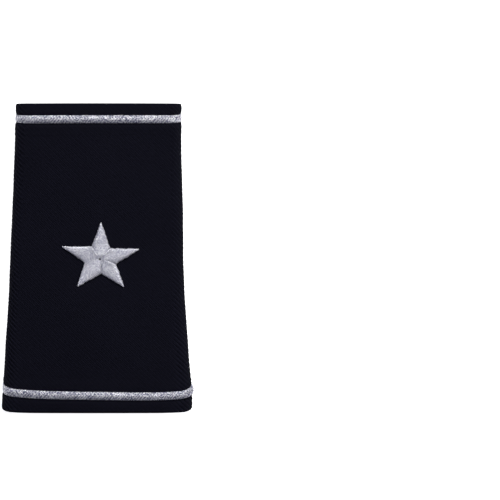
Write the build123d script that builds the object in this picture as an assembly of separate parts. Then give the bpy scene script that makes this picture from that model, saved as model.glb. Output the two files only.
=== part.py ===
from build123d import *
from collections import namedtuple
from math import atan2, cos, radians, sin, sqrt
import os

# A slip-on epaulette: a flattened, tapered sleeve of cloth that slides over a shoulder strap.
# It lies on its back. +Y runs from the wide, shoulder-seam end to the narrow, collar end.
# All sizes are in millimetres.

# The sleeve
length = 87.6               # along the front, from end to end
wide_width = 54.0           # across the side folds at the wide end
narrow_width = 46.9         # across the side folds at the narrow end
wide_fold_radius = 3.5      # outside radius of the side folds at the wide end
narrow_fold_radius = 3.2    # the same at the narrow end
wide_crown = 1.8            # how far the front bulges above the folds at the wide end
narrow_crown = 1.3          # the same at the narrow end
wide_rake = 12.0            # degrees by which the wide end slants back from front to back
cloth = 1.0                 # wall of stiffened gabardine
turned_cloth = 0.35         # what a turned-in or pressed-open layer adds to the wall
hem_depth = 9.0             # how far each end is turned in
seam_allowance = 6.0        # cloth pressed open on each side of the back seam
seam_slit_width = 0.3       # the line where the two edges meet on the back
seam_slit_depth = 0.35
rim_rounding = 0.4          # rounding of the folded edge at both ends, as a share of its wall

# The two silver braids, each running round the sleeve from the back seam and to it again
braid_width = 2.4
braid_rise = 0.55           # how far a braid stands above the cloth
wide_braid_inset = 4.7      # from the wide end to the middle of its braid
narrow_braid_inset = 4.4    # from the narrow end to the middle of its braid

# The embroidered star, in five padded satin points round a needle hole
star_reach = 11.5           # from the needle hole to the longest tip
star_shift = 0.95           # of the star from the middle of the sleeve, along X
star_drop = 0.35            # of the star from the middle of the sleeve, towards the wide end
star_rise = 0.8             # height of a point's ridge above the cloth, where it is widest
star_edge = 0.25            # height of the satin at its outline
needle_hole_radius = 0.35
point_gap = 0.08            # between neighbouring points

seat_gap = 0.05             # between the cloth and what is sewn on it
seat_sink = 0.5             # how far a raw braid or point reaches into the cloth before it is trimmed
overrun = 4.0               # how far a cutting solid runs past what it cuts

# How the sleeve flares: along is a share of the length from the wide end, spread a share of the
# way from the narrow end's sizes to the wide end's, and rake a share of wide_rake.
Station = namedtuple("Station", "along spread rake")
STATIONS = [
    Station(along=0.000, spread=1.000, rake=1.0),
    Station(along=0.105, spread=0.890, rake=1.0),
    Station(along=0.250, spread=0.620, rake=0.0),
    Station(along=0.500, spread=0.345, rake=0.0),
    Station(along=0.750, spread=0.140, rake=0.0),
    Station(along=1.000, spread=0.000, rake=0.0),
]

# The star's outline round the needle hole, anticlockwise from the top: each row is a tip and the
# notch that follows it. Angles are in degrees from +X, reaches are shares of star_reach.
StarPoint = namedtuple("StarPoint", "name tip_angle tip_reach notch_angle notch_reach")
STAR_POINTS = [
    StarPoint("top", 90.0, 0.91, 126.5, 0.39),
    StarPoint("left", 162.5, 1.00, 195.5, 0.41),
    StarPoint("lower_left", 229.5, 0.88, 277.0, 0.33),
    StarPoint("lower_right", 311.5, 0.91, 344.5, 0.42),
    StarPoint("right", 374.0, 0.99, 410.5, 0.38),
]
TIP_CUT = 0.95              # share of the way from notch to tip at which a point's blunt tip is cut
CENTRE_RISE = 0.55          # height of the ridge at the needle hole, as a share of star_rise
TIP_RISE = 0.50             # height of the ridge at the tip, as a share of star_rise

back_level = seat_gap + braid_rise      # the braids carry the sleeve's back clear of the surface
hem_wall = cloth + turned_cloth


def station_at(along):
    """The flare at any share of the length, between or beyond the rows of STATIONS."""
    if along <= STATIONS[0].along:
        return STATIONS[0]._replace(along=along)
    for near, far in zip(STATIONS, STATIONS[1:]):
        if along <= far.along:
            part = (along - near.along) / (far.along - near.along)
            return Station(*[a + part * (b - a) for a, b in zip(near, far)])
    return STATIONS[-1]._replace(along=along)


class Section:
    """The sleeve's outer cross-section: a flat back, a round fold at each side and a crowned front."""

    def __init__(self, along):
        row = station_at(along)
        self.half_width = (narrow_width + row.spread * (wide_width - narrow_width)) / 2
        self.fold = narrow_fold_radius + row.spread * (wide_fold_radius - narrow_fold_radius)
        crown = narrow_crown + row.spread * (wide_crown - narrow_crown)
        self.height = 2 * self.fold + crown
        self.flat = self.half_width - self.fold
        drop = self.height - self.fold
        self.front_radius = (self.flat**2 + drop**2 - self.fold**2) / (2 * crown)
        tilt = radians(row.rake * wide_rake)
        self.front_y = (along - 0.5) * length
        self.plane = Plane(
            origin=(0, self.front_y + self.height * sin(tilt), back_level),
            x_dir=(1, 0, 0),
            z_dir=(0, -cos(tilt), -sin(tilt)),
        )

    def path(self, offset=0.0, slit=0.0):
        """Edges from the back's middle round the right fold, the front and the left fold to it again."""
        fold = self.fold + offset
        front_centre = self.height - self.front_radius
        meet = atan2(self.fold - front_centre, self.flat)
        half_way = (meet - radians(90)) / 2

        def on_fold(angle):
            return (self.flat + fold * cos(angle), self.fold + fold * sin(angle))

        def mirrored(point):
            return (-point[0], point[1])

        start = (slit / 2, -offset)
        low, side, high = on_fold(radians(-90)), on_fold(half_way), on_fold(meet)
        edges = [
            Line(start, low),
            ThreePointArc(low, side, high),
            ThreePointArc(high, (0, self.height + offset), mirrored(high)),
            ThreePointArc(mirrored(high), mirrored(side), mirrored(low)),
            Line(mirrored(low), mirrored(start)),
        ]
        return [self.plane * edge for edge in edges]

    def face(self, offset=0.0):
        return Face(Wire(self.path(offset)))


def tube(offset, first=0.0, last=1.0, beyond=0.0):
    """The space inside the sleeve's outer surface moved out by offset, between two shares of the length."""
    inner = [row.along for row in STATIONS if first < row.along < last]
    faces = [Section(along).face(offset) for along in [first, *inner, last]]
    if beyond:
        faces = [Pos(0, -beyond, 0) * faces[0], *faces, Pos(0, beyond, 0) * faces[-1]]
    return loft(faces, ruled=True)


def make_sleeve():
    hem_share = hem_depth / length
    seam_strip = Box(2 * seam_allowance, 2 * length, 2 * (hem_wall + back_level))
    hollow = tube(-cloth, hem_share, 1 - hem_share) - seam_strip
    sleeve = tube(0) - hollow - tube(-hem_wall, beyond=overrun)
    ends = [sleeve.faces().sort_by(Axis.Y)[0], sleeve.faces().sort_by(Axis.Y)[-1]]
    rims = [edge for face in ends for edge in face.edges()]
    sleeve = fillet(rims, rim_rounding * hem_wall)
    slit = Box(seam_slit_width, 2 * length, 2 * (back_level + seam_slit_depth))
    return sleeve - slit


def make_braid(inset_share, cloth_body):
    """A flat-bottomed, round-topped braid laid round the sleeve, its two ends caught in the back seam."""
    section = Section(inset_share)
    path = Wire(section.path(seat_gap, slit=seam_slit_width))
    across = Plane(origin=path @ 0, x_dir=section.plane.z_dir, z_dir=path % 0)
    half = braid_width / 2
    top_radius = (half**2 + braid_rise**2) / (2 * braid_rise)
    foot = sqrt(top_radius**2 - (top_radius - braid_rise - seat_sink) ** 2)
    profile = make_face(
        [
            across * ThreePointArc((-foot, -seat_sink), (0, braid_rise), (foot, -seat_sink)),
            across * Line((foot, -seat_sink), (-foot, -seat_sink)),
        ]
    )
    return sweep(profile, path) - cloth_body


def front_level(x, y):
    """Height of the sleeve's front at a place, where its ends aren't raked."""
    section = Section(y / length + 0.5)
    radius = section.front_radius
    return back_level + section.height - radius + sqrt(radius**2 - x**2)


def star_place(angle, reach):
    """A place of the star's outline, from the needle hole."""
    return Vector(cos(radians(angle)), sin(radians(angle))) * (reach * star_reach)


def point_section(left, right, rise):
    """An upright section across a point of the star, from one side of its outline to the other."""
    middle = (left + right) / 2

    def lifted(place, above):
        x, y = place.X + star_shift, place.Y - star_drop
        return (x, y, front_level(x, y) + above)

    low_left, low_right = lifted(left, -seat_sink), lifted(right, -seat_sink)
    high_left, high_right = lifted(left, star_edge), lifted(right, star_edge)
    edges = [
        Line(high_left, low_left),
        Line(low_left, low_right),
        Line(low_right, high_right),
        ThreePointArc(high_right, lifted(middle, rise), high_left),
    ]
    return Face(Wire(edges))


def make_star_point(before, point, cloth_body):
    """One satin point: a kite from the needle hole past two notches to its tip, domed across."""
    right = star_place(before.notch_angle, before.notch_reach)
    left = star_place(point.notch_angle, point.notch_reach)
    tip = star_place(point.tip_angle, point.tip_reach)
    up = Vector(0, 0, 1)
    right_in = up.cross(right.normalized()) * (point_gap / 2)
    left_in = left.normalized().cross(up) * (point_gap / 2)
    at_hole = (left.normalized() * needle_hole_radius, right.normalized() * needle_hole_radius)
    sections = [
        point_section(at_hole[0] + left_in, at_hole[1] + right_in, CENTRE_RISE * star_rise),
        point_section(left + left_in, right + right_in, star_rise),
        point_section(left + (tip - left) * TIP_CUT, right + (tip - right) * TIP_CUT, TIP_RISE * star_rise),
    ]
    return loft(sections, ruled=True) - cloth_body


def save(name, shape):
    export_step(shape, f"parts/{name}.step")


os.makedirs("parts", exist_ok=True)
clear_of_cloth = tube(seat_gap, beyond=overrun)
save("sleeve", make_sleeve())
save("wide_end_braid", make_braid(wide_braid_inset / length, clear_of_cloth))
save("narrow_end_braid", make_braid(1 - narrow_braid_inset / length, clear_of_cloth))
for before, point in zip(STAR_POINTS[-1:] + STAR_POINTS, STAR_POINTS):
    save(f"star_point_{point.name}", make_star_point(before, point, clear_of_cloth))
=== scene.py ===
from collections import namedtuple
from math import cos, inf, pi, radians, sin

import bpy
import numpy as np
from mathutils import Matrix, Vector


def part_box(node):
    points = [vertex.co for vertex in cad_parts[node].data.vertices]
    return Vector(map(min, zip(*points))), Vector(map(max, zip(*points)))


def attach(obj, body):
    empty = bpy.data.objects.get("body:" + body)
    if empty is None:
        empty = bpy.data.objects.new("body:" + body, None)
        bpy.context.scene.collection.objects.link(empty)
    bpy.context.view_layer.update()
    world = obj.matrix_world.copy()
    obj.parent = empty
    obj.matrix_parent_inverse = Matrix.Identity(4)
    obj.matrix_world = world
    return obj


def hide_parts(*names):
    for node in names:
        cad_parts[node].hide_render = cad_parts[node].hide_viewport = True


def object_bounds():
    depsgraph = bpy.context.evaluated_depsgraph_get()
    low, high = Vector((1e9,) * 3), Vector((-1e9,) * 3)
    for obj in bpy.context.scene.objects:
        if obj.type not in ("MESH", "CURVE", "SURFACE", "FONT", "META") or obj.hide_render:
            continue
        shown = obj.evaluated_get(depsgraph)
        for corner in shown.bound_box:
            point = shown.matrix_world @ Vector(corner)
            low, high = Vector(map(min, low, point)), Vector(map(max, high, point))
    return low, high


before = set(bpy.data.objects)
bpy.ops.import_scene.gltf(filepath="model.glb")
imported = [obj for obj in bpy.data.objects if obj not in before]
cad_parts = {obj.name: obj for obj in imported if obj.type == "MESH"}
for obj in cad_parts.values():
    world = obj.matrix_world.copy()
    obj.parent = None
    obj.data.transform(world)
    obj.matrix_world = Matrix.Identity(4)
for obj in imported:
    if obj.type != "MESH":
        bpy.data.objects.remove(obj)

cad_low, cad_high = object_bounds()

# Sizes are in millimetres, and a mesh is turned into the frame's metres where it is made.
MM = 0.001

# The sleeve, as in the part: +Y runs from the wide end to the narrow end
LENGTH = 87.6
WIDE_WIDTH = 54.0
NARROW_WIDTH = 46.9
WIDE_FOLD = 3.5             # radius of the side folds
NARROW_FOLD = 3.2
WIDE_CROWN = 1.8            # how far the front's middle stands above its folds
NARROW_CROWN = 1.3
WIDE_RAKE = radians(12.0)
CLOTH = 1.0
TURNED_CLOTH = 0.35
HEM_WALL = CLOTH + TURNED_CLOTH
HEM_DEPTH = 9.0
HEM_STEP = 0.15             # along the sleeve, from the hem's wall to the plain one
SEAM_ALLOWANCE = 6.0
ALLOWANCE_STEP = 0.2        # round the sleeve, from the allowance's wall to the plain one
SEAM_LIP = 0.35             # radius of the two folded edges that meet at the back seam
RIM = HEM_WALL / 2          # radius of the fold that turns each end in
RIM_SQUARENESS = 0.55       # of the narrow end's rim: 1 is round, and less is squarer
BACK_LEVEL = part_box("sleeve")[0].z / MM

# How the sleeve flares, and how it lies a little to one side: shares of the length and of the way
# from the narrow end's sizes to the wide end's, with rake as a share of WIDE_RAKE and lean in mm.
Station = namedtuple("Station", "along spread rake lean")
STATIONS = [
    Station(0.00, 0.97, 1.15, 0.05),
    Station(0.04, 0.96, 1.15, 0.15),
    Station(0.10, 0.86, 1.1, 0.20),
    Station(0.16, 0.74, 0.7, 0.10),
    Station(0.25, 0.60, 0.2, 0.00),
    Station(0.35, 0.44, 0.0, -0.05),
    Station(0.50, 0.29, 0.0, 0.00),
    Station(0.69, 0.175, 0.0, 0.20),
    Station(0.88, 0.015, 0.0, 0.38),
    Station(1.00, -0.02, 0.0, 0.50),
]
ALONG, SPREAD, RAKE, LEAN = np.array(STATIONS).T
EASING = 0.03               # how far each station's corner is rounded, as a share of the length
EASING_STEPS = 9

# The cloth's mesh: rows along the outside, the inside and a hem, and places round it
OUTSIDE_ROWS = 480
INSIDE_ROWS = 46
HEM_ROWS = 15
RIM_ROWS = 9
SEAM_PLACES = np.array([0.0, 0.03, 0.07, 0.12, 0.18, 0.25, 0.33, 0.42, 0.6])  # from the seam
BACK_HALF = 22.0            # about half the back's width
BACK_PLACES = 13
FOLD_PLACES = 33
FRONT_PLACES = 29

# The twill: each warp yarn runs over two picks and under one, a pick lower than its left neighbour,
# which makes ribs that fall to the right on the front. Every other rib stands a little higher.
YARN_PITCH = 0.231
PICK_PITCH = 0.222
PICKS = 3                   # in one repeat
RIB_RELIEF = 0.10
# The higher ribs are painted paler on the folds: partly rubbed wear, and partly a painted highlight where
# they catch the light. This comes in and goes out over these stretches, measured round the cloth from the
# front's middle.
RUBBED_AND_LIT_IN = (21.0, 24.5)
RUBBED_AND_LIT_OUT = (29.0, 32.0)
RUBBED_AND_LIT = 1.2                # how much paler it makes them
FIBRES = (6.0, 2.0)         # across and along the cloth, for each mm
SHADES = 0.05               # broad changes of shade, for each mm
TWILL_DEPTH = 0.12          # of the yarns' own relief, which is in the finish

# The cloth's low relief beside the braids: a form's height, or its depth for the bed that a braid
# lies in, how far it is from the braid's middle, and its half-width
Relief = namedtuple("Relief", "height place reach")
BRAID_BED = Relief(0.08, 0.0, 1.3)
WELT = Relief(0.05, 2.4, 0.9)
PUCKERS = Relief(0.03, 1.9, 1.0)
PUCKER_LENGTH = 0.62        # for each radian of their wave
PUCKER_WANDER = 1.4         # radians by which the wave runs ahead and falls behind
WANDER_LENGTH = 2.3
PUCKER_FADE = 0.4           # share of their height by which they grow and fade
FADE_LENGTH = 3.7
# Its slack: broad and fine ripples, each of two waves multiplied. A wave's lengths across and along
# the cloth are in mm for each radian, and its start is in radians.
Wave = namedtuple("Wave", "across along start")
BROAD_SLACK = 0.09
BROAD_WAVES = (Wave(4.9, 7.5, 1.3), Wave(inf, 13.0, 0.4))
FINE_SLACK = 0.03
FINE_WAVES = (Wave(1.9, -2.6, 0.0), Wave(5.3, 3.7, 0.0))
SLACK_FROM_SEAM = (0.5, 5.0)
HEM_RELIEF = 0.07
HEM_BLEND = 0.6
# Where what only the folds have comes in and goes out, counted round the sleeve as Ring does
FOLD_COMES_IN = (0.9, 1.15)
FOLD_GOES_OUT = (1.95, 2.05)

# The braids
BRAID_HALF = 1.16
BRAID_RISE = 0.68
BRAID_ROUNDNESS = 0.85      # of their section: 1 is half round, and less is flatter on top
BACK_PRESSED = 0.28         # how much flatter they are where they lie on the floor, as a share
PRESS_GOES_OUT = (0.8, 1.0)  # counted round the sleeve, as Ring does
SQUEEZED_AT = (1.5, 0.45)   # middle and reach of the folds' squeeze, counted so too
SEAT_GAP = 0.05
COURSE_PLACES = 400         # from the seam to the front's middle
COURSE_EASING = 12          # places to each side over which the cloth's relief is evened out
END_TUCK = 0.6              # how far past the seam a strand's middle may lie
END_DIP = 0.9               # how deep the braids' ends turn down into the seam
STRAND_PITCH = 0.88         # along the braid, between strands that run the same way
STRAND_SLANT = radians(47.0)
STRAND_SWING = 105          # degrees round the section, from its top to a strand's end
SWING_STEPS = 181           # in which a strand's way round the section is measured
STRAND_PLACES = 17
CROSSING_RISE = 0.14        # how far a strand climbs over the ones that it crosses
LEAST_CLIMB = 0.5           # share of that rise that is left at the braid's sides
CROSSINGS = 4               # in one repeat of two over and two under
CROSSING_START = 1.84       # where in the repeat a strand's middle is
CROSSING_STEEPNESS = 1.5    # how fast a strand goes from under to over
CROSSING_BIAS = 1.0         # how much longer the strands of one way stay on top
FILAMENTS = 2               # side by side in a strand
FILAMENT_PITCH = 0.40
FILAMENT_DROP = 0.03        # for each pitch between a filament and its strand's middle
FILAMENT_HALF_WIDTH = 0.155
FILAMENT_HALF_HEIGHT = 0.105
FILAMENT_SIDES = 5
# Chance in the strands: in their spacing, as a share of their pitch, and in mm in where a filament
# starts, in its course and in its height
SPACING_SPREAD = 0.14
START_SPREAD = 0.02
COURSE_SPREAD = 0.012
LIFT_SPREAD = 0.014
# The strands' middles lie on a section of this size.
STRAND_HALF = BRAID_HALF - FILAMENT_HALF_HEIGHT
STRAND_RISE = BRAID_RISE - CROSSING_RISE - FILAMENT_HALF_HEIGHT
# The filling under the strands, whose dark grey is painted shade in the gaps between them
FILLING_INSET = 0.34        # of its sides from the braid's
FILLING_DROP = 0.36         # of its top from the braid's
FILLING_HALF = BRAID_HALF - FILLING_INSET
FILLING_RISE = BRAID_RISE - FILLING_DROP
FILLING_MIDDLE = 0.3        # how high its middle lies, as a share of its rise
FILLING_PLACES = 420
FILLING_SIDES = 12
FILLING_NUMBER = -10        # its thread number, by which the finish knows it
# Each braid's course drifts from one side of the front to the other, and bows towards the narrow
# end near both sides, from a share of the way to them. On the folds it is sunk into the cloth and
# squeezed flatter, or stands up more where squeeze is below 0. Drift, bow and sunk are in mm.
Braid = namedtuple("Braid", "name node along drift bow bow_start sunk squeeze_right squeeze_left")
BRAIDS = [
    Braid("wide_braid_plait", "wide_end_braid", 4.88 / LENGTH, -0.33, 1.05, 0.3, 0.12, -0.4, 0.5),
    Braid("narrow_braid_plait", "narrow_end_braid", 1 - 4.62 / LENGTH, 0.05, 0.65, 0.75, 0.32, 0.25, 0.3),
]
BOW_POWER = 2.6             # how late a course bows: 1 would be a straight rise

# The star, round its needle hole
STAR_PLACE = np.array([1.03, -0.33])
STAR_REACH = 11.5
HOLE_RADIUS = 0.42
NEEDLE_PITCH = 0.4          # between the needle holes on one side of a point
RAGGED = 0.045              # chance in where a needle hole is
DRIFTING = 0.05             # and chance that changes slowly along a side
STEADY_TIP = 0.85           # share of a side from which the chance dies away
NOTCH_BLEND = (0.28, 0.40)  # shares of a side over which a point's inner part ends
SATIN_HALF_WIDTH = 0.125
SATIN_HALF_HEIGHT = 0.07
SATIN_SIDES = 6
SATIN_PLACES = 15
SATIN_SPREAD = 0.006        # chance in a thread's height
SATIN_RISE = 0.8
TIP_RISE = 0.25             # of a thread with no width
RISE_WITH_WIDTH = 0.5       # added for each mm of a thread's half-width, up to SATIN_RISE in all
TIP_HALF_WIDTH = 0.13
NEEDLE_DEPTH = 0.12         # how far the threads' ends go down into the cloth
LEVEL_END = 0.7             # how much higher they end beside a neighbour that lies level
LAPPED_END = 0.12           # and beside any other
LAP = 0.16                  # how far a point's threads reach past the line to a neighbour
LAP_RISE = 0.36             # how far they rise over it, or dip under it
# How full a thread's arch is: 2 would be round, and more is squarer. The last two are added beside
# a neighbour that it laps, and beside any other.
FULLNESS = 3.6
LAPPING_FULLNESS = 0.9
LAPPED_FULLNESS = 3.4
PADDING_FOOT = 0.05
THREADS_A_POINT = 200       # more than any point has, so that no two points share a thread number
STAR_SEED = 40
# The outline, anticlockwise from the top: each row is a tip and the notch that follows it. Before
# and after say how the point lies on its neighbours: 1 over, -1 under, 0 level.
StarPoint = namedtuple("StarPoint", "name tip_angle tip_reach notch_angle notch_reach before after")
STAR_POINTS = [
    StarPoint("top", 88.3, 0.895, 122.2, 0.366, -1, -1),
    StarPoint("left", 161.5, 0.968, 192.6, 0.384, 1, 0),
    StarPoint("lower_left", 230.7, 0.854, 275.8, 0.355, 0, 1),
    StarPoint("lower_right", 311.0, 0.894, 344.3, 0.419, -1, 1),
    StarPoint("right", 374.4, 0.986, 405.5, 0.373, -1, 1),
]

# Finishes. Silver thread is speckled from dark to pale along its length: painted glints where it is pale,
# and painted shade where it is dark. Together is how many threads share their speckles, streaks is how
# much whole strands differ, and blend is half the width of the step from dark to pale.
# The cloth runs from its dark to its pale navy: painted shade in the twill's grooves, painted light on the
# rib tops, and random tone between.
NAVY_DARK_AND_SHADED = (0.0015, 0.0015, 0.0030, 1)
NAVY_PALE_AND_LIT = (0.0058, 0.0058, 0.0106, 1)
# Painted shade: the braid's filling is dark grey where it shows between the strands.
FILLING_SHADE_GREY = (0.070, 0.068, 0.11, 1)
Silver = namedtuple("Silver", "name together streaks dark pale metallic roughness gloss blend")
PLAITED = Silver(
    "plaited_silver", 1, 0.11, (0.104, 0.101, 0.175, 1), (0.727, 0.727, 0.742, 1), 0.6, 0.28, 0.4, 0.14
)
SATIN = Silver(
    "satin_silver", 2, 0.0, (0.335, 0.332, 0.405, 1), (0.60, 0.60, 0.622, 1), 0.4, 0.32, 0.5, 0.12
)
GLINT_SPECKLES = 3.1              # along a thread, for each mm
DARK_ROUGHER = 0.2          # how much rougher a dark speckle is
TWIST = 0.35                # length of one turn of a thread
TWIST_DEPTH = 0.02

# The studio: a pale floor, and lights that all look at the sleeve's middle, with power in watts
FLOOR_HALF = 1500.0
FLOOR_GAP = 0.02
FLOOR_LOW = (0.72, 0.72, 0.73, 1)
FLOOR_HIGH = (0.74, 0.74, 0.745, 1)
FLOOR_CLOUDS = 3.0          # for each metre
FLOOR_GLOW = 0.88
SKY = (0.76, 0.80, 1.0, 1)
SKY_STRENGTH = 0.06
WHITE = (1, 1, 1)
Light = namedtuple("Light", "name place size power colour")
LIGHTS = [
    Light("key", (1560, 150, 1240), 600, 18.5, WHITE),
    Light("top", (90, 680, 560), 350, 10.0, WHITE),
    Light("fill", (-800, -100, 1000), 600, 2.8, (0.76, 0.78, 1.0)),
]

# The photograph's frame: 500 pixels a side, with the sleeve's middle at this pixel
PIXEL = 0.28346             # its width at the picture's level
FRAME_PIXELS = 500
SLEEVE_PIXEL = (96.8, 258.1)
PICTURE_LEVEL = 4.0         # about where the side folds are widest
CAMERA_DISTANCE = 1100.0    # above that level
SENSOR = 36.0


class Value:
    """A number or colour that changes over a surface. Numbers are written with + - * and / as usual."""

    def __init__(self, finish, socket):
        self.finish = finish
        self.socket = socket

    def maths(self, operation, *others):
        inputs = dict(enumerate((self, *others)))
        return self.finish.node("ShaderNodeMath", {"operation": operation}, inputs)

    def __add__(self, other):
        return self.maths("ADD", other)

    def __sub__(self, other):
        return self.maths("SUBTRACT", other)

    def __mul__(self, other):
        return self.maths("MULTIPLY", other)

    def __truediv__(self, other):
        return self.maths("DIVIDE", other)

    def __rsub__(self, other):
        return self.maths("MULTIPLY", -1) + other

    __radd__ = __add__
    __rmul__ = __mul__

    def wave(self):
        """A smooth swing between 0 and 1 that repeats each time the number grows by 1."""
        return (self * (2 * pi)).maths("SINE") * 0.5 + 0.5

    def between(self, low, high):
        """0 below low and 1 above high, with a soft step between."""
        inputs = {"Value": self, "From Min": low, "From Max": high}
        return self.finish.node("ShaderNodeMapRange", {"interpolation_type": "SMOOTHSTEP"}, inputs)


class Finish:
    """A procedural material, built from named nodes and plain sums."""

    def __init__(self, name, map_name=None):
        self.material = bpy.data.materials.new(name)
        self.material.use_nodes = True
        self.tree = self.material.node_tree
        self.tree.nodes.clear()
        self.map_name = map_name

    def node(self, kind, settings=None, inputs=None, output=0):
        """Adds one node: its settings first, then the values or links of its sockets."""
        made = self.tree.nodes.new(kind)
        for key, value in (settings or {}).items():
            setattr(made, key, value)
        for key, value in (inputs or {}).items():
            if isinstance(value, Value):
                self.tree.links.new(value.socket, made.inputs[key])
            else:
                made.inputs[key].default_value = value
        return Value(self, made.outputs[output])

    def lay(self):
        """The piece's own two measures: across and along the cloth, or along a thread and which thread."""
        place = self.node("ShaderNodeUVMap", {"uv_map": self.map_name})
        return self.part(place, "X"), self.part(place, "Y")

    def part(self, vector, letter):
        return self.node("ShaderNodeSeparateXYZ", None, {0: vector}, letter)

    def vector(self, x, y):
        return self.node("ShaderNodeCombineXYZ", None, {0: x, 1: y})

    def noise(self, place, scale, detail):
        inputs = {"Vector": place, "Scale": scale, "Detail": detail}
        return self.node("ShaderNodeTexNoise", None, inputs)

    def random(self, number):
        """A number from 0 to 1 for each whole number."""
        return self.node("ShaderNodeTexWhiteNoise", {"noise_dimensions": "1D"}, {"W": number})

    def mix(self, share, low, high):
        """A colour on the way from low to high."""
        settings = {"data_type": "RGBA"}
        return self.node("ShaderNodeMix", settings, {0: share, 6: low, 7: high}, 2)

    def bump(self, height, distance):
        inputs = {"Height": height, "Distance": distance * MM, "Strength": 1.0}
        return self.node("ShaderNodeBump", None, inputs)

    def surface(self, **sockets):
        """Ends the material in its shader, whose sockets are named with _ for a space."""
        inputs = {key.replace("_", " "): value for key, value in sockets.items()}
        shader = self.node("ShaderNodeBsdfPrincipled", None, inputs)
        out = self.tree.nodes.new("ShaderNodeOutputMaterial")
        self.tree.links.new(shader.socket, out.inputs[0])
        return self.material


def navy_cloth():
    """Near-black navy gabardine: a twill of fine yarns, matt, with painted shade in its grooves and
    painted light on its rib tops, and its higher ribs painted paler on the side folds, partly as rubbed
    wear and partly as a painted highlight."""
    finish = Finish("navy_gabardine", "cloth_lay")
    across, along = finish.lay()
    yarns = across / YARN_PITCH
    roundness = 1 - ((yarns.maths("FRACT") - 0.5) * 2).maths("POWER", 2)
    repeat = (along / (PICK_PITCH * PICKS) + yarns.maths("FLOOR") / PICKS).maths("FRACT")
    over = (repeat * pi).maths("SINE")
    high = ((along / PICK_PITCH + yarns) / (2 * PICKS)).wave()
    fibre = finish.noise(finish.vector(across * FIBRES[0], along * FIBRES[1]), 1.0, 3.0)
    shade = finish.noise(finish.vector(across * SHADES, along * SHADES), 1.0, 2.0)
    from_middle = across.maths("ABSOLUTE")
    fold = from_middle.between(*RUBBED_AND_LIT_IN) * (1 - from_middle.between(*RUBBED_AND_LIT_OUT))
    # Painted shade and light: darker in the twill's grooves and lighter on the rib tops and higher ribs,
    # with random tone from the fibres and broad noise. On the folds the higher ribs are paler still,
    # partly rubbed wear and partly a painted highlight.
    plain = over * 0.42 + fibre * 0.25 + shade * 0.17 + high * 0.06
    pale = plain + (high - 0.3) * fold * RUBBED_AND_LIT + 0.05
    height = over * (roundness * 0.4 + 0.6) + fibre * 0.25 + high * 0.3
    return finish.surface(
        Base_Color=finish.mix(pale.between(0.15, 0.85), NAVY_DARK_AND_SHADED, NAVY_PALE_AND_LIT),
        Roughness=0.75 + fibre * 0.15,
        Specular_IOR_Level=0.02,
        Sheen_Weight=0.004,
        Sheen_Roughness=0.35,
        Sheen_Tint=(0.75, 0.8, 1.0, 1),
        Normal=finish.bump(height, TWILL_DEPTH),
    )


def silver_thread(silver):
    """Silver thread with a fine twist, duller and brighter in turn along its length: painted shade where
    duller and painted glints where brighter. Whole strands differ too, by chance and every other one. A
    braid's filling, numbered below 0, stays dark grey as painted shade."""
    finish = Finish(silver.name, "thread_lay")
    along, number = finish.lay()
    strand = (number / silver.together).maths("FLOOR")
    # Painted glints and shade: the speckles along each thread make it pale where it would glint and dark
    # where it would lie in shade.
    glint_speckle = finish.noise(finish.vector(along * GLINT_SPECKLES, strand * GLINT_SPECKLES), 1.0, 1.0)
    own = finish.random(strand) + (strand / 2).maths("FRACT") * 2
    share = (glint_speckle + (own - 1) * silver.streaks).between(0.5 - silver.blend, 0.5 + silver.blend)
    is_thread = number.maths("GREATER_THAN", -1)
    twist = (along / TWIST + number.maths("FRACT")).wave()
    return finish.surface(
        Base_Color=finish.mix(is_thread, FILLING_SHADE_GREY, finish.mix(share, silver.dark, silver.pale)),
        Metallic=silver.metallic,
        Roughness=silver.roughness + (1 - share) * DARK_ROUGHER,
        Specular_IOR_Level=silver.gloss,
        Normal=finish.bump(twist, TWIST_DEPTH),
    )


def plain_floor():
    finish = Finish("pale_floor")
    place = finish.node("ShaderNodeTexCoord", None, None, "Object")
    cloudy = finish.noise(place, FLOOR_CLOUDS, 2.0)
    return finish.surface(
        Base_Color=finish.mix(cloudy, FLOOR_LOW, FLOOR_HIGH),
        Roughness=0.9,
        Specular_IOR_Level=0.1,
        Emission_Color=(1, 1, 1, 1),
        Emission_Strength=FLOOR_GLOW,
    )


def make_piece(name, points, faces, lay, map_name, material, slot, *nodes):
    """Makes a smooth mesh of points in millimetres, and hands it to the frame in place of its nodes."""
    mesh = bpy.data.meshes.new(name)
    mesh.from_pydata(points.reshape(-1, 3) * MM, [], faces)
    mesh.polygons.foreach_set("use_smooth", [True] * len(mesh.polygons))
    layer = mesh.uv_layers.new(name=map_name)
    layer.data.foreach_set("uv", lay.ravel())
    mesh.materials.append(material)
    piece = bpy.data.objects.new(name, mesh)
    bpy.context.scene.collection.objects.link(piece)
    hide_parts(*nodes)
    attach(piece, "root")


def unit(vectors):
    return vectors / np.linalg.norm(vectors, axis=-1, keepdims=True)


def near(value, place, reach):
    """1 at a place, dying away within about one reach of it."""
    return np.exp(-(((value - place) / reach) ** 2))


def step_up(value, low, high):
    """0 below low and 1 above high, with a soft step between."""
    share = np.clip((value - low) / (high - low), 0, 1)
    return share * share * (3 - 2 * share)


def corners(first, second):
    """The four corners of each cell of a grid, as their numbers both ways."""
    ahead = np.stack([first, first + 1, first + 1, first], axis=-1).reshape(-1, 4)
    beside = np.stack([second, second, second + 1, second + 1], axis=-1).reshape(-1, 4)
    return ahead, beside


def gone_along(*steps):
    """How far each place of a course is from its start, given the steps between them, way by way."""
    return np.concatenate([[0], np.cumsum(np.hypot(*steps))])


def eased(along, values):
    """Values between the rows of STATIONS, with each corner rounded."""
    steps = np.linspace(-EASING, EASING, EASING_STEPS)
    return np.mean([np.interp(along + step, ALONG, values) for step in steps], axis=0)


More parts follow.
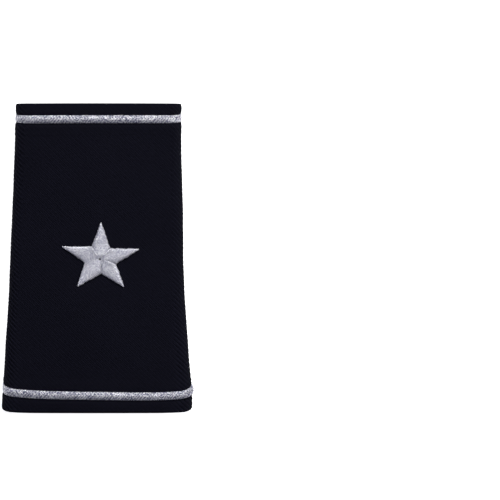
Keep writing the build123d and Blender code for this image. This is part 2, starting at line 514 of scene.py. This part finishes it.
class Ring:
    """Cross-sections of the sleeve. p runs from 0 at the back seam to 1 at the fold, 2 where the
    fold meets the front and 3 at the front's middle, and side is 1 on the right and -1 on the left."""

    def __init__(self, along, p, side):
        spread = eased(along, SPREAD)
        half_width = (NARROW_WIDTH + spread * (WIDE_WIDTH - NARROW_WIDTH)) / 2
        self.fold = NARROW_FOLD + spread * (WIDE_FOLD - NARROW_FOLD)
        crown = NARROW_CROWN + spread * (WIDE_CROWN - NARROW_CROWN)
        self.height = 2 * self.fold + crown
        self.flat = half_width - self.fold
        drop = self.height - self.fold
        self.front = (self.flat**2 + drop**2 - self.fold**2) / (2 * crown)
        self.tilt = eased(along, RAKE) * WIDE_RAKE
        self.lean = eased(along, LEAN)
        self.y = (along - 0.5) * LENGTH
        self.p = p
        self.side = side
        self.on_fold = (p >= 1) & (p < 2)
        self.on_front = p >= 2
        meet = np.arctan2(self.fold - self.height + self.front, self.flat)
        self.fold_angle = (p - 1) * (meet + pi / 2) - pi / 2
        self.front_angle = meet + (p - 2) * (pi / 2 - meet)
        self.across = self.from_middle(meet) * side
        self.from_seam = np.where(p < 1, p * self.flat, self.flat)

    def from_middle(self, meet):
        """The way round the cloth from the front's middle. Meet is the angle where fold and front join."""
        front = self.front * (pi / 2 - meet)
        fold = self.fold * (meet + pi / 2)
        return self.pick(
            front + fold + self.flat * (1 - self.p),
            front + self.fold * (meet - self.fold_angle),
            self.front * (pi / 2 - self.front_angle),
        )

    def pick(self, back, fold, front):
        return np.where(self.on_front, front, np.where(self.on_fold, fold, back))

    def points(self, out):
        """The surface moved out by so much, which may differ from place to place."""
        fold, front = self.fold + out, self.front + out
        x = self.pick(
            self.p * self.flat,
            self.flat + fold * np.cos(self.fold_angle),
            front * np.cos(self.front_angle),
        )
        z = self.pick(
            -out,
            self.fold + fold * np.sin(self.fold_angle),
            self.height - self.front + front * np.sin(self.front_angle),
        )
        return self.placed(x * self.side + self.lean, z)

    def placed(self, x, z):
        """Tilts a section by its rake, so that the sleeve's back reaches further than its front."""
        crown = self.height - 2 * self.fold
        slant = np.maximum(2 * self.fold - z, 0) * self.height / (self.height - crown)
        y = self.y + slant * np.sin(self.tilt)
        return np.stack(np.broadcast_arrays(x, y, BACK_LEVEL + z * np.cos(self.tilt)), axis=-1)

    def outward(self):
        """The direction straight out of the cloth."""
        x = self.pick(0 * self.p, np.cos(self.fold_angle), np.cos(self.front_angle)) * self.side
        z = self.pick(0 * self.p - 1, np.sin(self.fold_angle), np.sin(self.front_angle))
        return np.stack(np.broadcast_arrays(x, 0 * x, z), axis=-1)


def columns():
    """Places round the sleeve, close together at the seam and on the folds, where the ribs show."""
    back = np.concatenate([SEAM_PLACES / BACK_HALF, np.linspace(0.05, 1, BACK_PLACES)[:-1]])
    fold = 1 + np.linspace(0, 1, FOLD_PLACES)[:-1]
    front = 2 + np.linspace(0, 1, FRONT_PLACES)
    right = np.concatenate([back, fold, front])
    p = np.concatenate([right, right[-2:0:-1]])
    side = np.concatenate([np.ones(len(right)), -np.ones(len(right) - 2)])
    return p, side


def ripples(ring, height, waves):
    """Unevenness of so much height, from two waves multiplied."""
    swings = [np.sin(ring.across / wave.across + ring.y / wave.along + wave.start) for wave in waves]
    return height * swings[0] * swings[1]


def slackness(ring):
    """The cloth's soft unevenness, which dies away at the seam."""
    uneven = ripples(ring, BROAD_SLACK, BROAD_WAVES) + ripples(ring, FINE_SLACK, FINE_WAVES)
    return uneven * step_up(ring.from_seam, *SLACK_FROM_SEAM)


def ribs(ring):
    """The higher ribs of the twill, where the cloth's finish has them too."""
    return np.sin(2 * pi * (ring.y / PICK_PITCH + ring.across / YARN_PITCH) / (2 * PICKS))


def puckers(across):
    """Small ripples where a braid's stitches draw the cloth in, 1 high at most."""
    wander = PUCKER_WANDER * np.sin(across / WANDER_LENGTH)
    fading = 1 - PUCKER_FADE + PUCKER_FADE * np.sin(across / FADE_LENGTH)
    return np.sin(across / PUCKER_LENGTH + wander) * fading


def braid_middle(braid, ring):
    """Where a braid's middle lies along the sleeve."""
    off_back = np.clip(ring.p, 0, 1)
    drift = braid.drift * np.clip(ring.across / (NARROW_WIDTH / 2), -1, 1) * off_back
    to_side = np.clip(np.abs(ring.across) / (ring.flat + ring.fold * pi / 2), braid.bow_start, 1)
    bow = braid.bow * ((to_side - braid.bow_start) / (1 - braid.bow_start)) ** BOW_POWER * off_back
    return (braid.along - 0.5) * LENGTH + drift + bow


def seam_depth(from_seam):
    """The groove between the two folded edges that meet at the back seam."""
    short = np.clip(SEAM_LIP - from_seam, 0, SEAM_LIP)
    return SEAM_LIP - np.sqrt(SEAM_LIP**2 - short**2)


def strength(form, from_braid):
    """How strong a form of the relief is, so far from a braid's middle: 1 where it is highest."""
    return near(np.abs(from_braid), form.place, form.reach)


def outer_relief(ring):
    """How far the outside stands out from its plain form."""
    on_fold = step_up(ring.p, *FOLD_COMES_IN)
    off_front = 1 - step_up(ring.p, *FOLD_GOES_OUT)
    relief = slackness(ring)
    relief = relief + RIB_RELIEF * ribs(ring) * on_fold * off_front
    for braid in BRAIDS:
        from_braid = ring.y - braid_middle(braid, ring)
        bed = BRAID_BED.height + braid.sunk * on_fold * off_front
        relief = relief - bed * strength(BRAID_BED, from_braid)
        relief = relief + WELT.height * strength(WELT, from_braid)
        relief = relief + PUCKERS.height * (puckers(ring.across) * strength(PUCKERS, from_braid))
    hem_edge = LENGTH / 2 - HEM_DEPTH
    relief = relief + HEM_RELIEF * step_up(np.abs(ring.y), hem_edge - HEM_BLEND, hem_edge + HEM_BLEND)
    return relief - seam_depth(ring.from_seam)


def squarer(swing):
    """Makes a round turn, given by its sine or cosine, into a squarer one: a crisply pressed fold."""
    return np.sign(swing) * np.abs(swing) ** RIM_SQUARENESS


def cloth_profile():
    """The cloth's course from the wide rim along the outside, round the narrow rim and back inside.
    Gives each row's place along the sleeve, its depth under the outside, and its share of outside."""
    turn = np.linspace(pi / 2, -pi / 2, RIM_ROWS)[1:-1]
    narrow_hem = LENGTH - HEM_DEPTH
    narrow_step = narrow_hem - HEM_STEP
    narrow_rim = (
        LENGTH - RIM + RIM * squarer(np.cos(turn)),
        RIM - RIM * squarer(np.sin(turn)),
        (1 + np.sin(turn)) / 2,
    )
    wide_rim = (RIM - RIM * np.cos(turn), RIM + RIM * np.sin(turn), (1 - np.sin(turn)) / 2)
    pieces = [
        (np.linspace(RIM, LENGTH - RIM, OUTSIDE_ROWS), 0.0, 1.0),
        narrow_rim,
        (np.linspace(LENGTH - RIM, narrow_hem, HEM_ROWS), HEM_WALL, 0.0),
        (np.linspace(narrow_step, LENGTH - narrow_step, INSIDE_ROWS), CLOTH, 0.0),
        (np.linspace(LENGTH - narrow_hem, RIM, HEM_ROWS), HEM_WALL, 0.0),
        wide_rim,
    ]
    rows = [np.stack(np.broadcast_arrays(*piece)) for piece in pieces]
    return np.concatenate(rows, axis=1)


def cloth_out(ring, depth, outside):
    """How far each place of the cloth lies out from the sleeve's plain form."""
    allowance = 1 - step_up(ring.from_seam, SEAM_ALLOWANCE - ALLOWANCE_STEP, SEAM_ALLOWANCE)
    inside = np.maximum(depth, (CLOTH + allowance * TURNED_CLOTH) * (outside == 0))
    return outer_relief(ring) * outside + slackness(ring) * (1 - outside) - inside


def cloth_faces(ring, station, depth):
    """The cloth's faces, which close both ways, and where each of their corners lies on the cloth."""
    rows, places = ring.across.shape
    row, place = np.meshgrid(np.arange(rows), np.arange(places), indexing="ij")
    corner_places, corner_rows = corners(place, row)
    faces = (corner_rows % rows) * places + corner_places % places
    across = np.concatenate([ring.across, -ring.across[:, :1]], axis=1)
    across = np.concatenate([across, across[:1]], axis=0)
    along = gone_along(np.diff(station), np.diff(depth)) + RIM - LENGTH / 2
    along = np.append(along, along[-1] + 2 * RIM)
    lay = np.stack([across[corner_rows, corner_places], along[corner_rows]], axis=-1)
    return faces[:, ::-1].tolist(), lay[:, ::-1]


def make_sleeve(cloth):
    station, depth, outside = cloth_profile()
    p, side = columns()
    ring = Ring((station / LENGTH)[:, None], p[None, :], side[None, :])
    points = ring.points(cloth_out(ring, depth[:, None], outside[:, None]))
    faces, lay = cloth_faces(ring, station, depth)
    make_piece("sleeve_cloth", points, faces, lay, "cloth_lay", cloth, "cloth", "sleeve")


def tubes(centres, up, half_width, half_height, sides, numbers):
    """Threads as closed tubes. Centres and up are threads x places x 3, and each thread has a number.
    Gives points, blocks of faces, and a block of lay for each."""
    threads, places = centres.shape[:2]
    ahead = unit(np.gradient(centres, axis=1))
    aside = unit(np.cross(ahead, up))
    top = np.cross(aside, ahead)
    turn = np.linspace(0, 2 * pi, sides, endpoint=False)[:, None]
    across = aside[:, :, None] * np.cos(turn) * half_width
    points = centres[:, :, None] + (across + top[:, :, None] * np.sin(turn) * half_height)
    cells = [np.arange(threads), np.arange(places - 1), np.arange(sides)]
    thread, place, corner = np.meshgrid(*cells, indexing="ij")
    corner_places, corner_turns = corners(place, corner)
    which = np.repeat(thread.reshape(-1, 1), 4, axis=1)
    walls = (which * places + corner_places) * sides + corner_turns % sides
    first = np.arange(threads)[:, None] * places * sides + np.arange(sides)
    caps = np.concatenate([first, (first + (places - 1) * sides)[:, ::-1]])
    steps = np.linalg.norm(np.diff(centres, axis=1), axis=-1)
    gone = np.concatenate([np.zeros((threads, 1)), np.cumsum(steps, axis=1)], axis=1)
    turned = numbers[which] + corner_turns / (sides + 1)
    lay = np.stack([gone[which, corner_places], turned], axis=-1)
    return points.reshape(-1, 3), [walls, caps], [lay.reshape(-1, 2), np.zeros((caps.size, 2))]


def join(*parts):
    """Several sets of points, faces and lay as one, with the thread numbers of each set after the
    ones before it."""
    points, faces, lay = [], [], []
    count, threads = 0, 0
    for part_points, part_faces, part_lay in parts:
        points.append(part_points)
        for block, block_lay in zip(part_faces, part_lay):
            faces.extend((block + count).tolist())
            lay.append(block_lay + (0, threads))
        count += len(part_points)
        threads += 1 + max(0, int(max(block_lay[:, 1].max() for block_lay in part_lay)))
    return np.concatenate(points), faces, np.concatenate(lay)


class Course:
    """A braid's course round the sleeve: places, the way out of the cloth and the way across the braid."""

    def __init__(self, braid):
        right = np.linspace(0, 3, COURSE_PLACES)
        p = np.concatenate([right, right[-2::-1]])
        side = np.concatenate([np.ones(COURSE_PLACES), -np.ones(COURSE_PLACES - 1)])
        straight = Ring(np.full(len(p), braid.along), p, side)
        ring = Ring(braid_middle(braid, straight) / LENGTH + 0.5, p, side)
        relief = outer_relief(ring) + seam_depth(ring.from_seam)
        window = 2 * COURSE_EASING + 1
        padded = np.pad(relief, COURSE_EASING, mode="edge")
        smooth = np.convolve(padded, np.ones(window) / window, mode="valid")
        self.places = ring.points(smooth + SEAT_GAP)
        self.out = ring.outward()
        ahead = unit(np.gradient(self.places, axis=0))
        self.aside = unit(np.cross(ahead, self.out))
        steps = np.linalg.norm(np.diff(self.places, axis=0), axis=-1)
        self.gone = np.concatenate([[0], np.cumsum(steps)])
        self.length = self.gone[-1]
        squeeze = np.where(side > 0, braid.squeeze_right, braid.squeeze_left)
        pressed = BACK_PRESSED * (1 - step_up(p, *PRESS_GOES_OUT))
        self.rise = 1 - squeeze * near(p, *SQUEEZED_AT) - pressed

    def read(self, table, gone):
        """A course table at distances along the course. Past either end it holds the end's value."""
        if table.ndim == 1:
            return np.interp(gone, self.gone, table)
        return np.stack([np.interp(gone, self.gone, column) for column in table.T], axis=-1)

    def point(self, gone, aside, above):
        """Places at distances along the course, aside from its middle and above the cloth. Past
        either end the course turns down into the seam."""
        beyond = np.maximum(-gone, 0) + np.maximum(gone - self.length, 0)
        above = above * self.read(self.rise, gone) - np.minimum(beyond, END_DIP)
        places = self.read(self.places, gone) + self.read(self.aside, gone) * aside[..., None]
        return places + self.read(self.out, gone) * above[..., None]


def dome(swing):
    """The height of the braid's section at an angle from its top."""
    return np.sign(np.cos(swing)) * np.abs(np.cos(swing)) ** BRAID_ROUNDNESS


def strand_way():
    """A strand's way over the braid in even steps: its angle round the section, how far it has gone
    along the braid, and 1 or -1 where a strand of one way lies under the others or over them."""
    swing = np.radians(np.linspace(-STRAND_SWING, STRAND_SWING, SWING_STEPS))
    gone = gone_along(np.diff(STRAND_HALF * np.sin(swing)), np.diff(STRAND_RISE * dome(swing)))
    gone -= gone[-1] / 2
    steps = np.linspace(-gone[-1], gone[-1], STRAND_PLACES)
    advance = steps / np.tan(STRAND_SLANT)
    repeat = (2 * advance / STRAND_PITCH + CROSSING_START) / CROSSINGS
    crossing = np.clip(CROSSING_STEEPNESS * np.sin(2 * pi * repeat) + CROSSING_BIAS, -1, 1)
    return np.interp(steps, gone, swing), advance, crossing


def strand_steps(count, rng):
    """Where the strands of one way start, in steps from -1 to count + 1: close to even."""
    gone = np.cumsum(rng.normal(1, SPACING_SPREAD, count + 3))
    return np.interp(gone, [gone[0], gone[-1]], [-1, count + 1])


def strands(course, way, rng):
    """The braid's strands that run one way, 1 or -1, over its rounded top."""
    swing, advance, crossing = strand_way()
    count = int(round(course.length / STRAND_PITCH))
    pitch = course.length / count
    off_middle = np.arange(FILAMENTS) - (FILAMENTS - 1) / 2
    starts = (strand_steps(count, rng)[:, None] * pitch + off_middle * FILAMENT_PITCH).ravel()
    starts = starts + rng.normal(0, START_SPREAD, len(starts))
    gone = starts[:, None] + way * advance + rng.normal(0, COURSE_SPREAD, (len(starts), len(swing)))
    middle = gone.mean(axis=1)
    keep = (middle > -END_TUCK) & (middle < course.length + END_TUCK)
    gone = gone[keep]
    drop = np.tile(np.abs(off_middle) * FILAMENT_DROP, count + 3)[keep, None]
    climb = CROSSING_RISE * np.clip(np.cos(swing), LEAST_CLIMB, 1)
    lift = -way * crossing * climb - drop + rng.normal(0, LIFT_SPREAD, gone.shape)
    centres = course.point(gone, (STRAND_HALF + lift) * np.sin(swing), (STRAND_RISE + lift) * dome(swing))
    up = course.read(course.aside, gone) * (np.sin(swing) / STRAND_HALF)[:, None]
    up = up + course.read(course.out, gone) * (dome(swing) / STRAND_RISE)[:, None]
    numbers = np.arange(len(gone))
    return tubes(centres, unit(up), FILAMENT_HALF_WIDTH, FILAMENT_HALF_HEIGHT, FILAMENT_SIDES, numbers)


def filling(course):
    """The braid's filling, which closes the view between its strands and is painted dark grey as the shade
    there.
    """
    gone = np.linspace(0, course.length, FILLING_PLACES)
    above = np.full(len(gone), FILLING_RISE * FILLING_MIDDLE)
    centres = course.point(gone, np.zeros(len(gone)), above)[None]
    up = course.read(course.out, gone)[None]
    half_height = FILLING_RISE * (1 - FILLING_MIDDLE)
    return tubes(centres, up, FILLING_HALF, half_height, FILLING_SIDES, np.array([FILLING_NUMBER]))


def make_braid(braid, seed, silver):
    rng = np.random.default_rng(seed)
    course = Course(braid)
    points, faces, lay = join(filling(course), *[strands(course, way, rng) for way in (1, -1)])
    make_piece(braid.name, points, faces, lay, "thread_lay", silver, "braid_thread", braid.node)


def front_level(x, y):
    """Height of the front's plain form at a place near the star."""
    ring = Ring(y / LENGTH + 0.5, np.full(np.shape(y), 3.0), np.ones(np.shape(y)))
    return BACK_LEVEL + ring.height - ring.front + np.sqrt(ring.front**2 - (x - ring.lean) ** 2)


def outline(angle, reach):
    """A place from the star's middle, at an angle in degrees and a share of the star's reach."""
    return np.array([cos(radians(angle)), sin(radians(angle))]) * reach * STAR_REACH


def side_course(start, notch, tip, shares):
    """Places on one side of a point: from the needle hole to the notch and on to the tip."""
    inner = np.linalg.norm(notch - start)
    outer = np.linalg.norm(tip - notch)
    gone = shares * (inner + outer)
    knots = [0, inner, inner + outer]
    return np.stack([np.interp(gone, knots, [start[i], notch[i], tip[i]]) for i in (0, 1)], axis=-1)


def slow_noise(rng, shape):
    """Unevenness that changes over two or three steps, about 1 high."""
    raw = rng.normal(0, 1.5, (*shape[:-1], shape[-1] + 2))
    return (raw[..., :-2] + 2 * raw[..., 1:-1] + raw[..., 2:]) / 4


def needle_rows(before, point, rng):
    """The needle holes down both sides of a point, half a step apart, and how far each belongs to
    the point's inner part: 1 beside a neighbour and 0 beyond the notches."""
    right_notch = outline(before.notch_angle, before.notch_reach)
    left_notch = outline(point.notch_angle, point.notch_reach)
    tip = outline(point.tip_angle, point.tip_reach)
    axis = unit(tip)
    aside = np.array([-axis[1], axis[0]])
    count = int(np.linalg.norm(tip) / NEEDLE_PITCH)
    shares = np.arange(2 * count) / (2 * count - 1)
    half_tip = aside * TIP_HALF_WIDTH
    left = side_course(unit(left_notch) * HOLE_RADIUS, left_notch, tip + half_tip, shares)
    right = side_course(unit(right_notch) * HOLE_RADIUS, right_notch, tip - half_tip, shares)
    inner = 1 - step_up(shares, *NOTCH_BLEND)
    uneven = rng.normal(0, RAGGED, (2, len(shares)))
    uneven = uneven + slow_noise(rng, (2, len(shares))) * DRIFTING
    uneven = uneven * np.interp(shares, [STEADY_TIP, 1], [1, 0])
    left = left + aside * (LAP * inner + uneven[0])[:, None]
    right = right - aside * (LAP * inner + uneven[1])[:, None]
    return left, right, inner, axis


def arches(point, width, inner, swing, rng):
    """How high each thread stands above the cloth on its way from needle hole to needle hole."""
    over = np.where(swing > 0, point.after, point.before)
    rise = np.minimum(SATIN_RISE, TIP_RISE + RISE_WITH_WIDTH * width) - SATIN_HALF_HEIGHT
    fullness = FULLNESS + inner[:, None] * np.where(over > 0, LAPPING_FULLNESS, LAPPED_FULLNESS)
    arch = (1 - np.abs(swing) ** fullness) ** (1 / fullness)
    shoulder = inner[:, None] * over * LAP_RISE * np.abs(swing) ** 3
    low = -NEEDLE_DEPTH + inner[:, None] * np.where(over == 0, LEVEL_END, LAPPED_END)
    uneven = rng.normal(0, SATIN_SPREAD, (len(width), 1))
    return low + (rise[:, None] - low + shoulder + uneven) * arch


def stitches(before, point, rng):
    """A point's threads, from needle hole to needle hole across it in a close zigzag."""
    left, right, inner, axis = needle_rows(before, point, rng)
    number = np.arange(len(left) - 1)
    from_left = left[number + number % 2]
    to_right = right[number + 1 - number % 2]
    inner = (inner[1:] + inner[:-1]) / 2
    swing = np.sin(np.linspace(-pi / 2, pi / 2, SATIN_PLACES))
    middle, half = (from_left + to_right) / 2, (from_left - to_right) / 2
    flat = middle[:, None] + half[:, None] * swing[:, None]
    above = arches(point, np.linalg.norm(half, axis=-1), inner, swing, rng)
    x, y = flat[..., 0] + STAR_PLACE[0], flat[..., 1] + STAR_PLACE[1]
    return np.stack([x, y, front_level(x, y) + above], axis=-1), axis


def padding(centres):
    """The padding under a point's threads: its section follows every thread, a little lower down."""
    rings = centres.copy()
    rings[..., 2] -= SATIN_HALF_HEIGHT
    feet = rings[:, [-1, 0]].copy()
    feet[..., 2] -= PADDING_FOOT
    rings = np.concatenate([rings, feet], axis=1)
    rows, places = rings.shape[:2]
    row, place = np.meshgrid(np.arange(rows - 1), np.arange(places), indexing="ij")
    corner_rows, corner_places = corners(row, place)
    walls = corner_rows * places + corner_places % places
    first = np.arange(places)[None]
    caps = np.concatenate([first, first[:, ::-1] + (rows - 1) * places])
    return rings.reshape(-1, 3), [walls, caps], [np.zeros((walls.size, 2)), np.zeros((caps.size, 2))]


def satin(before, point, rng, first_number):
    """A point's threads over their padding."""
    centres, axis = stitches(before, point, rng)
    ahead = unit(np.gradient(centres, axis=1))
    up = np.cross(ahead, np.concatenate([axis, [0]]))
    up = unit(np.where(up[..., 2:3] < 0, -up, up))
    numbers = first_number + np.arange(len(centres))
    threads = tubes(centres, up, SATIN_HALF_WIDTH, SATIN_HALF_HEIGHT, SATIN_SIDES, numbers)
    return join(padding(centres), threads)


def make_star(silver):
    for number, (before, point) in enumerate(zip(STAR_POINTS[-1:] + STAR_POINTS, STAR_POINTS)):
        rng = np.random.default_rng(STAR_SEED + number)
        points, faces, lay = satin(before, point, rng, THREADS_A_POINT * number)
        name = f"star_point_{point.name}"
        make_piece(name + "_satin", points, faces, lay, "thread_lay", silver, "star_thread", name)


def add_floor():
    half = FLOOR_HALF * MM
    level = cad_low.z - FLOOR_GAP * MM
    edges = [(-half, -half, level), (half, -half, level), (half, half, level), (-half, half, level)]
    mesh = bpy.data.meshes.new("floor")
    mesh.from_pydata(edges, [], [(0, 1, 2, 3)])
    mesh.materials.append(plain_floor())
    floor = bpy.data.objects.new("floor", mesh)
    bpy.context.scene.collection.objects.link(floor)


def add_light(light):
    lamp = bpy.data.lights.new(light.name, "AREA")
    lamp.shape = "DISK"
    lamp.size = light.size * MM
    lamp.energy = light.power
    lamp.color = light.colour
    stand = bpy.data.objects.new(light.name, lamp)
    stand.location = Vector(light.place) * MM
    stand.rotation_euler = (-Vector(light.place)).to_track_quat("-Z", "Y").to_euler()
    bpy.context.scene.collection.objects.link(stand)


def add_sky():
    world = bpy.data.worlds.new("studio")
    world.use_nodes = True
    background = world.node_tree.nodes["Background"]
    background.inputs["Color"].default_value = SKY
    background.inputs["Strength"].default_value = SKY_STRENGTH
    bpy.context.scene.world = world
    bpy.context.scene.view_settings.view_transform = "Standard"


def add_camera():
    """A camera that looks straight down, with the sleeve where the photograph has it."""
    view = bpy.data.cameras.new("camera")
    view.sensor_width = SENSOR
    view.lens = view.sensor_width * CAMERA_DISTANCE / (FRAME_PIXELS * PIXEL)
    view.clip_start = 0.05
    view.clip_end = 20.0
    camera = bpy.data.objects.new("camera", view)
    middle = FRAME_PIXELS / 2
    x = (middle - SLEEVE_PIXEL[0]) * PIXEL
    y = (SLEEVE_PIXEL[1] - middle) * PIXEL
    camera.location = Vector((x, y, CAMERA_DISTANCE + PICTURE_LEVEL)) * MM
    bpy.context.scene.collection.objects.link(camera)
    bpy.context.scene.camera = camera


add_floor()
for light in LIGHTS:
    add_light(light)
add_sky()
add_camera()
make_sleeve(navy_cloth())
plaited_silver = silver_thread(PLAITED)
for seed, braid in enumerate(BRAIDS):
    make_braid(braid, seed, plaited_silver)
make_star(silver_thread(SATIN))
